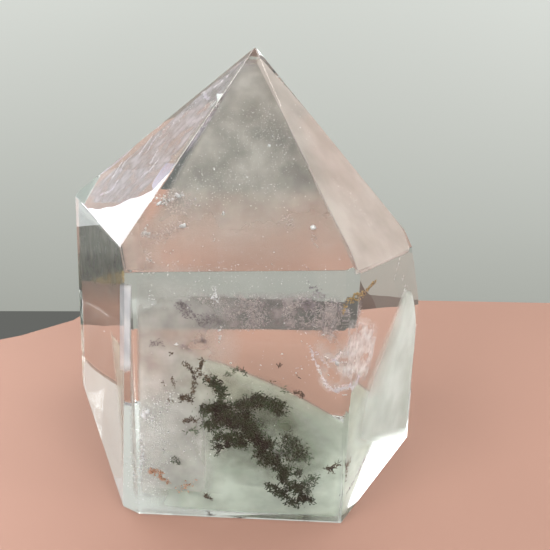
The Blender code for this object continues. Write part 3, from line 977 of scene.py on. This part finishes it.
FILMS = (
    # A milky zone with a sharp upper edge; its grey-green is partly a painted reflection of the wall in the base.
    Film(
        "milky_zone_and_painted_reflection",
        (
            (-13.0, -1.1, 25.5),
            (-10.4, -1.1, 24.3),
            (-2.0, -1.0, 22.4),
            (3.1, -1.0, 20.2),
            (7.9, -0.9, 18.3),
            (12.8, -0.9, 15.9),
            (18.7, -0.8, 12.7),
            (24.0, -0.7, 9.5),
        ),
        ((-14.5, -28.6, 0.5), (2.0, -29.0, 0.5), (21.8, -28.6, 0.5)),
        Mist("milky growth zone and painted grey-green reflection", "#BAC4B2", "#E4ECDE", 0.76, 0.6),
        fade=(0.25, 0.03, 0.02, 0.03),
        bulge=(0.0, 0.0, -2.5),
    ),
    # A thin dark green veil behind the moss: chlorite dust, and painted shade cast behind it.
    Film(
        "chlorite_veil_and_painted_shade",
        ((-4.7, -22.0, 21.4), (-0.4, -22.0, 27.1), (5.9, -22.0, 27.5), (12.7, -21.9, 24.7), (20.5, -21.8, 14.5)),
        ((-3.7, -22.0, 13.1), (0.1, -21.9, 4.6), (7.2, -21.8, 1.0), (15.3, -21.7, 1.0), (20.5, -21.7, 3.6)),
        Mist("chlorite dust, a thin cloud", "#4A5444", "#5F6B55", 0.65, 0.3, 5.0),
        fade=(0.35, 0.35, 0.35, 0.35),
    ),
    Film(
        "pyramid_haze",
        ((0.2, 0.4, 78.0), (1.5, 0.3, 78.2), (2.8, 0.4, 78.0)),
        ((-17.0, -24.6, 44.9), (2.0, -25.4, 45.2), (21.0, -24.5, 46.7)),
        Mist("milky haze, grey", "#AAA79D", "#D4D1C8", 0.9, 0.6, 6.0),
        fade=(0.05, 0.05, 0.08, 0.45),
        bulge=(0.0, 1.5, -1.5),
    ),
    Film(
        "deep_haze",
        ((-0.5, 5.0, 69.5), (1.5, 5.0, 70.0), (3.5, 5.0, 69.5)),
        ((-15.0, -12.0, 44.0), (0.0, -13.0, 43.5), (16.0, -12.0, 44.0)),
        Mist("milky haze, deep grey", "#A9ACA2", "#DCDED6", 0.5, 0.1, 10.0),
        fade=(0.2, 0.2, 0.1, 0.5),
        bulge=(0.0, -1.5, 2.0),
    ),
    Film(
        "left_haze",
        ((-15.0, -24.6, 44.8), (-8.0, -24.4, 45.2), (4.0, -24.0, 45.2)),
        ((-15.5, -25.0, 1.0), (-8.0, -24.8, 1.0), (0.0, -24.6, 1.0)),
        Mist("milky haze, white", "#BDBDB7", "#E4E4E0", 0.72, 0.4, 6.0),
        fade=(0.05, 0.5, 0.15, 0.04),
    ),
    Film(
        "lower_left_haze",
        ((-15.2, -23.4, 23.0), (-9.7, -23.4, 24.4), (-4.5, -23.4, 23.1), (-2.6, -23.4, 17.0)),
        ((-15.6, -23.8, 1.0), (-10.0, -23.8, 1.0), (-4.4, -23.8, 1.0), (-3.0, -23.8, 1.0)),
        Mist("milky haze, bright", "#ECEDE9", "#FFFFFF", 0.75, 0.4, 5.0),
        fade=(0.04, 0.3, 0.25, 0.3),
    ),
    Film(
        "lace_haze",
        ((-4.5, -23.0, 41.4), (1.1, -23.0, 42.4), (7.5, -23.0, 42.6), (13.1, -23.0, 43.1), (18.9, -23.0, 42.6)),
        ((-4.5, -23.0, 34.6), (1.2, -23.0, 35.2), (7.8, -23.0, 35.6), (13.5, -23.0, 35.2), (19.6, -23.0, 33.6)),
        Mist("healed cracks, a soft veil", "#8F878A", "#C9C0C0", 0.62, 0.0, 2.4),
        fade=(0.15, 0.1, 0.2, 0.2),
    ),
    # A near-opaque film by the left shoulder whose pinkish tone paints in the floor seen through the stone there.
    Film(
        "shoulder_haze_painted_view",
        ((-17.0, -26.7, 49.3), (-15.9, -24.8, 51.3), (-13.4, -21.6, 54.8)),
        ((-15.6, -29.8, 46.0), (-13.6, -30.1, 46.2), (-8.4, -30.0, 46.5)),
        Mist("milky haze by the left shoulder", "#A8958A", "#CBB7AA", 0.97, 0.9, 3.0),
        thickness=0.12,
        fade=(0.01, 0.85, 0.02, 0.02),
        steps=(24, 24),
    ),
    Film(
        "left_face_haze",
        ((-36.1, 11.9, 45.4), (-24.5, -10.6, 47.7), (-16.0, -27.2, 49.1)),
        ((-37.0, 11.8, 21.3), (-23.8, -13.1, 32.8), (-15.0, -29.7, 40.4)),
        Mist("milky haze, smoky green", "#7E8078", "#A6A89F", 0.66, 0.42, 4.0),
        thickness=0.2,
        fade=(0.02, 0.04, 0.04, 0.4),
    ),
    # A bluish-white film along the left front edge: a painted highlight of window light.
    Film(
        "edge_painted_highlight",
        ((-17.0, -26.6, 43.0), (-17.2, -26.5, 37.3), (-17.5, -26.4, 31.7), (-17.7, -26.4, 26.5)),
        ((-14.5, -30.7, 44.7), (-14.7, -30.6, 39.3), (-14.9, -30.5, 34.0), (-15.1, -30.4, 29.0)),
        Mist("painted highlight of window light along the edge", "#DCE4EC", "#FFFFFF", 0.92, 0.7, 9.0),
        thickness=0.12,
        fade=(0.04, 0.1, 0.06, 0.01),
        steps=(60, 10),
    ),
    Film(
        "right_haze",
        (
            (20.7, -28.5, 14.1),
            (20.6, -28.4, 17.0),
            (20.8, -28.0, 19.1),
            (21.8, -26.2, 22.8),
            (24.3, -22.0, 27.7),
            (26.5, -18.3, 31.9),
            (28.1, -15.7, 34.7),
            (29.7, -13.1, 37.7),
            (30.4, -11.8, 39.6),
        ),
        (
            (37.1, -4.3, 0.5),
            (37.7, -2.9, 3.6),
            (37.3, -3.3, 9.0),
            (36.9, -3.7, 15.1),
            (36.5, -4.0, 21.1),
            (36.3, -4.1, 25.8),
            (35.6, -4.9, 30.2),
            (34.5, -6.5, 34.1),
            (32.8, -8.9, 37.7),
        ),
        Mist("frosted zone, pale green", "#C6D5CD", "#EAF4EF", 0.96, 0.88, 9.0, 0.0),
        fade=(0.12, 0.06, 0.45, 0.02),
    ),
    Film(
        "right_tip_haze",
        (
            (1.7, -0.7, 78.4),
            (10.3, -1.2, 69.5),
            (18.0, -2.8, 60.9),
            (25.9, -5.0, 52.6),
            (30.3, -7.1, 48.3),
            (31.3, -12.3, 46.2),
        ),
        (
            (1.6, -1.3, 77.6),
            (6.8, -9.6, 69.5),
            (11.4, -17.2, 61.8),
            (15.1, -23.4, 55.4),
            (18.4, -27.4, 50.6),
            (19.4, -30.1, 47.6),
        ),
        Mist("milky haze, rosy", "#DCCEC4", "#F2E9E1", 0.62, 0.48, 8.0),
        fade=(0.02, 0.02, 0.03, 0.03),
    ),
    # Milky haze under the left tip face; its mauve tone is partly a painted reflection.
    Film(
        "left_tip_haze_and_painted_reflection",
        ((-32.8, 12.4, 46.8), (-22.6, 9.8, 55.6), (-11.6, 7.6, 65.3), (-3.1, 5.4, 72.6), (1.6, 2.6, 76.6)),
        ((-30.0, 5.0, 46.2), (-17.0, -13.3, 50.9), (-10.9, -12.3, 57.2), (-4.8, -6.5, 65.7), (1.6, 0.4, 75.4)),
        Mist("milky haze, mauve grey as a painted reflection", "#A89DA4", "#DAD3DA", 0.72, 0.2, 3.0),
        fade=(0.04, 0.04, 0.04, 0.08),
    ),
    Film(
        "curved_crack",
        ((13.3, -25.4, 35.0), (16.0, -25.4, 36.1), (19.3, -25.4, 35.7), (20.9, -25.4, 34.5)),
        ((15.5, -25.4, 26.7), (17.4, -25.4, 25.0), (19.9, -25.3, 25.2), (21.6, -25.3, 27.2)),
        Mist("crack, glassy white", "#E6E4E0", "#FFFFFF", 0.45, 0.0, 2.4),
        fade=(0.3, 0.3, 0.4, 0.1),
        bulge=(0.0, 1.2, 0.0),
    ),
    Film(
        "right_cracks",
        ((18.9, -27.3, 39.7), (20.5, -24.7, 39.0), (22.4, -21.9, 37.5), (24.5, -18.7, 34.8)),
        ((19.2, -27.3, 28.8), (20.7, -25.1, 26.0), (22.1, -23.1, 25.7), (23.3, -21.1, 26.6)),
        Mist("tiny cracks, rosy white", "#EFDCD8", "#FFFFFF", 0.85, 0.1, 2.0),
        fade=(0.1, 0.25, 0.2, 0.25),
    ),
)


@dataclass
class Studio:
    """A pale table top, a glowing backdrop with painted light and shade, soft lights and the camera."""

    floor_outline: tuple[tuple[float, float], ...] = (
        (-420.0, -420.0),
        (420.0, -420.0),
        (420.0, 111.8),
        (-40.0, 70.4),
        (-49.0, 64.0),
        (-54.0, 48.0),
        (-65.0, 36.0),
        (-82.0, 24.0),
        (-420.0, -40.0),
    )
    floor_thick: float = 12.0
    air_gap: float = 0.05
    wall_distance: float = 260.0
    wall_foot: tuple[tuple[float, float], ...] = (
        (-205.0, -99.0),
        (-80.0, -92.0),
        (-60.0, -67.0),
        (60.0, -64.0),
        (90.0, -82.0),
        (150.0, -74.0),
        (460.0, -71.0),
    )
    # Corners, x and z, of a painted highlight strip on the backdrop.
    edge_highlight_outline: tuple[tuple[float, float], ...] = (
        (155.0, -112.0),
        (161.0, -111.0),
        (179.0, -105.0),
        (200.0, -98.0),
        (205.0, -92.0),
        (200.0, -86.0),
        (179.0, -93.0),
        (161.0, -100.0),
        (155.0, -103.0),
    )
    wall_corner: tuple[tuple[float, float], ...] = ((-205.0, -40.0), (-330.0, -48.0))
    window: tuple[tuple[float, float], ...] = (
        (132.0, -12.0),
        (129.3, 5.7),
        (129.0, 8.5),
        (127.9, 12.0),
        (126.3, 13.6),
        (124.4, 15.3),
        (124.0, 17.0),
        (172.0, 17.0),
        (172.0, -12.0),
    )
    window_rim: tuple[tuple[float, float], ...] = ((127.4, 12.0), (128.0, 12.0), (124.4, 16.6), (122.4, 16.6))
    skylight: tuple[tuple[float, float], ...] = ((112.0, 32.5), (172.0, 32.5), (172.0, 62.0), (112.0, 62.0))
    skylight_place: tuple[Vector3, float] = ((-24.0, -18.0, 5.0), 240.0)
    left_front_softbox: tuple[tuple[float, float], ...] = ((-152.0, 5.0), (-122.0, 5.0), (-122.0, 50.0), (-152.0, 50.0))
    right_front_softbox: tuple[tuple[float, float], ...] = ((-64.0, 5.0), (-38.0, 5.0), (-38.0, 48.0), (-64.0, 48.0))
    right_softbox: tuple[tuple[float, float], ...] = ((-26.0, 0.0), (-6.0, 0.0), (-6.0, 35.0), (-26.0, 35.0))
    back_softbox: tuple[tuple[float, float], ...] = ((20.0, 52.0), (105.0, 52.0), (105.0, 78.0), (20.0, 78.0))
    camera_place: Vector3 = (7.31, -113.0, 77.4)
    camera_pitch: float = 20.165
    camera_roll: float = 3.048
    focal_pixels: float = 577.11

    def flat(self, name: str, corners: Points, finish: Plain | Glow) -> bpy.types.Object:
        """One flat face of the studio through corners in millimetres."""
        made = make_mesh(name, corners, [list(range(len(corners)))])
        made.data.materials.append(finish.material())
        return made

    def floor(self) -> bpy.types.Object:
        """The table top: its outline at two levels, closed by a side for each edge."""
        outline = np.array(self.floor_outline)
        count = len(outline)
        top = np.column_stack([outline, np.full(count, -self.air_gap)])
        foot = np.column_stack([outline, np.full(count, -self.floor_thick)])
        sides = [[i, i + count, (i + 1) % count + count, (i + 1) % count] for i in range(count)]
        faces = [list(range(count)), list(range(2 * count - 1, count - 1, -1)), *sides]
        made = make_mesh("floor", np.vstack([top, foot]), faces)
        made.data.materials.append(Plain("floor, pale warm paint", "#936F60").material())
        return made

    def light(
        self,
        name: str,
        outline: tuple[tuple[float, float], ...],
        finish: Glow,
        middle: Vector3 = (0.0, 0.0, 0.0),
        distance: float = 2600.0,
    ) -> bpy.types.Object:
        """A light or a card, unseen directly, round a middle.

        Args:
            name: its name.
            outline: the heading and the rise of each corner, seen from the middle.
            finish: its glow.
            middle: the point it is set round, in millimetres.
            distance: how far its corners are from that point.

        Returns:
            The light.
        """
        turns = np.array(outline)
        corners = heading_lean(turns[:, 0], turns[:, 1]) * distance + np.array(middle)
        made = self.flat(name, corners, finish)
        made.visible_camera = False
        return made

    def camera(self) -> bpy.types.Object:
        """The camera, from its place, pitch and roll, with the focal length in pixels."""
        pitch, roll = math.radians(self.camera_pitch), math.radians(self.camera_roll)
        ahead = np.array([0.0, math.cos(pitch), -math.sin(pitch)])
        level = np.array([1.0, 0.0, 0.0])
        up = np.cross(level, ahead)
        right = level * math.cos(roll) + up * math.sin(roll)
        top = up * math.cos(roll) - level * math.sin(roll)
        data = bpy.data.cameras.new("camera")
        data.lens = self.focal_pixels / PICTURE_WIDTH * SENSOR_WIDTH
        data.sensor_width = SENSOR_WIDTH
        data.clip_start = 0.005
        made = bpy.data.objects.new("camera", data)
        bpy.context.scene.collection.objects.link(made)
        turned = np.eye(4)
        turned[:3, 0], turned[:3, 1], turned[:3, 2] = right, top, -ahead
        turned[:3, 3] = np.array(self.camera_place) * MM
        made.matrix_world = Matrix(turned.tolist())
        bpy.context.scene.camera = made
        return made

    def world(self) -> None:
        """Soft room light: bright behind, above and beside the stone, dim low in front.

        The tone runs along the height of a direction, raised by 0.6 times how far it
        points backwards. Seen directly, the room is an even pale grey.
        """
        world = bpy.data.worlds.new("soft room light")
        world.use_nodes = True
        tree = world.node_tree
        way = add_node(tree, "ShaderNodeTexCoord")
        parts = add_node(tree, "ShaderNodeSeparateXYZ", {}, {"Vector": way.outputs["Generated"]})
        level = add_node(
            tree,
            "ShaderNodeMath",
            {"operation": "MULTIPLY_ADD"},
            {0: parts.outputs["Y"], 2: parts.outputs["Z"]},
        )
        level.inputs[1].default_value = 0.6
        share = add_node(
            tree, "ShaderNodeMapRange", {"From Min": -0.5, "From Max": 0.7}, {"Value": level.outputs["Value"]}
        )
        tone = add_node(tree, "ShaderNodeValToRGB", {}, {"Fac": share.outputs["Result"]})
        tone.color_ramp.elements[0].color = linear("#B8B2AA")
        tone.color_ramp.elements[1].color = linear("#DDE2E2")
        for position, colour in ((0.1, "#A4A29E"), (0.25, "#A4A29E"), (0.42, "#C4C9CA"), (0.6, "#DDE2E2")):
            stop = tone.color_ramp.elements.new(position)
            stop.color = linear(colour)
        tree.nodes["Background"].inputs["Strength"].default_value = 1.25
        tree.links.new(tone.outputs["Color"], tree.nodes["Background"].inputs["Color"])
        plain = add_node(tree, "ShaderNodeBackground", {"Color": linear("#C4C8C3"), "Strength": 1.0})
        path = add_node(tree, "ShaderNodeLightPath")
        both = add_node(
            tree,
            "ShaderNodeMixShader",
            {},
            {
                0: path.outputs["Is Camera Ray"],
                1: tree.nodes["Background"].outputs["Background"],
                2: plain.outputs["Background"],
            },
        )
        tree.links.new(both.outputs["Shader"], tree.nodes["World Output"].inputs["Surface"])
        bpy.context.scene.world = world

    def build(self) -> None:
        """Set up the floor, the backdrop, the lights and the camera."""
        self.floor()
        back, deep, high = self.wall_distance, -400.0, 420.0
        foot = np.array([(x, back, z) for x, z in self.wall_foot])
        ends = foot[[-1, 0]]
        # The backdrop glows by itself, darker low down and lighter towards the top: painted light and shade of the
        # room.
        self.flat(
            "backdrop",
            np.vstack([foot, np.column_stack([ends[:, :2], [high, high]])]),
            Glow("backdrop, grey, painted lighter towards the top", "#9FA29B", "#CDD1CB", (-100.0, 130.0)),
        )
        # A dark glowing strip low on the backdrop: painted shade of the gap behind the table.
        self.flat(
            "backdrop_low_painted_shade",
            np.vstack([np.column_stack([ends[::-1, :2], [deep, deep]]), foot[::-1]]),
            Glow("backdrop, painted shade of the gap behind the table", "#5A5C59", "#5A5C59"),
        )
        # A warm glowing strip on the backdrop: a painted highlight, the lit edge of the table seen through the stone.
        self.flat(
            "painted_edge_highlight",
            np.array([(x, back - 1, z) for x, z in self.edge_highlight_outline]),
            Glow("painted highlight of a lit edge, warm", "#C9A96A", "#C9A96A"),
        )
        # A dark glowing patch in the backdrop's corner, darker towards the bottom: painted shade of the corner.
        corner = np.array([(x, back, z) for x, z in self.wall_corner])
        self.flat(
            "backdrop_corner_painted_shade",
            np.vstack([corner, np.column_stack([corner[::-1, :2], [deep, deep]])]),
            Glow("backdrop, painted shade of the corner", "#2E2F2D", "#5E605C", (-110.0, -50.0)),
        )
        self.light("window", self.window, Glow("window light", "#F4F8FF", "#F4F8FF", strength=4.0))
        self.light(
            "window_rim",
            self.window_rim,
            Glow("window light, its blue rim", "#000000", "#CFE0FF", (-130.0, 100.0), 3.0, (-0.809, -0.588, 0.0)),
        )
        middle, distance = self.skylight_place
        self.light(
            "skylight",
            self.skylight,
            Glow("skylight", "#AEBAB5", "#FFFFFF", (0.55 * distance, 0.62 * distance), 5.0),
            middle,
            distance,
        )
        for name, outline, strength in (
            ("left_front_softbox", self.left_front_softbox, 9.0),
            ("right_front_softbox", self.right_front_softbox, 9.0),
            ("right_softbox", self.right_softbox, 7.0),
            ("back_softbox", self.back_softbox, 6.0),
        ):
            self.light(name, outline, Glow(name.replace("_", " "), "#FFFFFF", "#FFFFFF", strength=strength))
        self.world()
        self.camera()
        bpy.context.scene.view_settings.view_transform = "Standard"


def main() -> None:
    """Build the studio and the stone, piece by piece."""
    logging.basicConfig(level=logging.INFO, format="%(name)s: %(message)s")
    Studio().build()
    for part in (Crystal(), *MOSSES, *SPECKS, *FILMS):
        made = part.build()
        LOG.info("%s: %d faces", made.name, len(made.data.polygons))


if __name__ == "__main__":
    main()
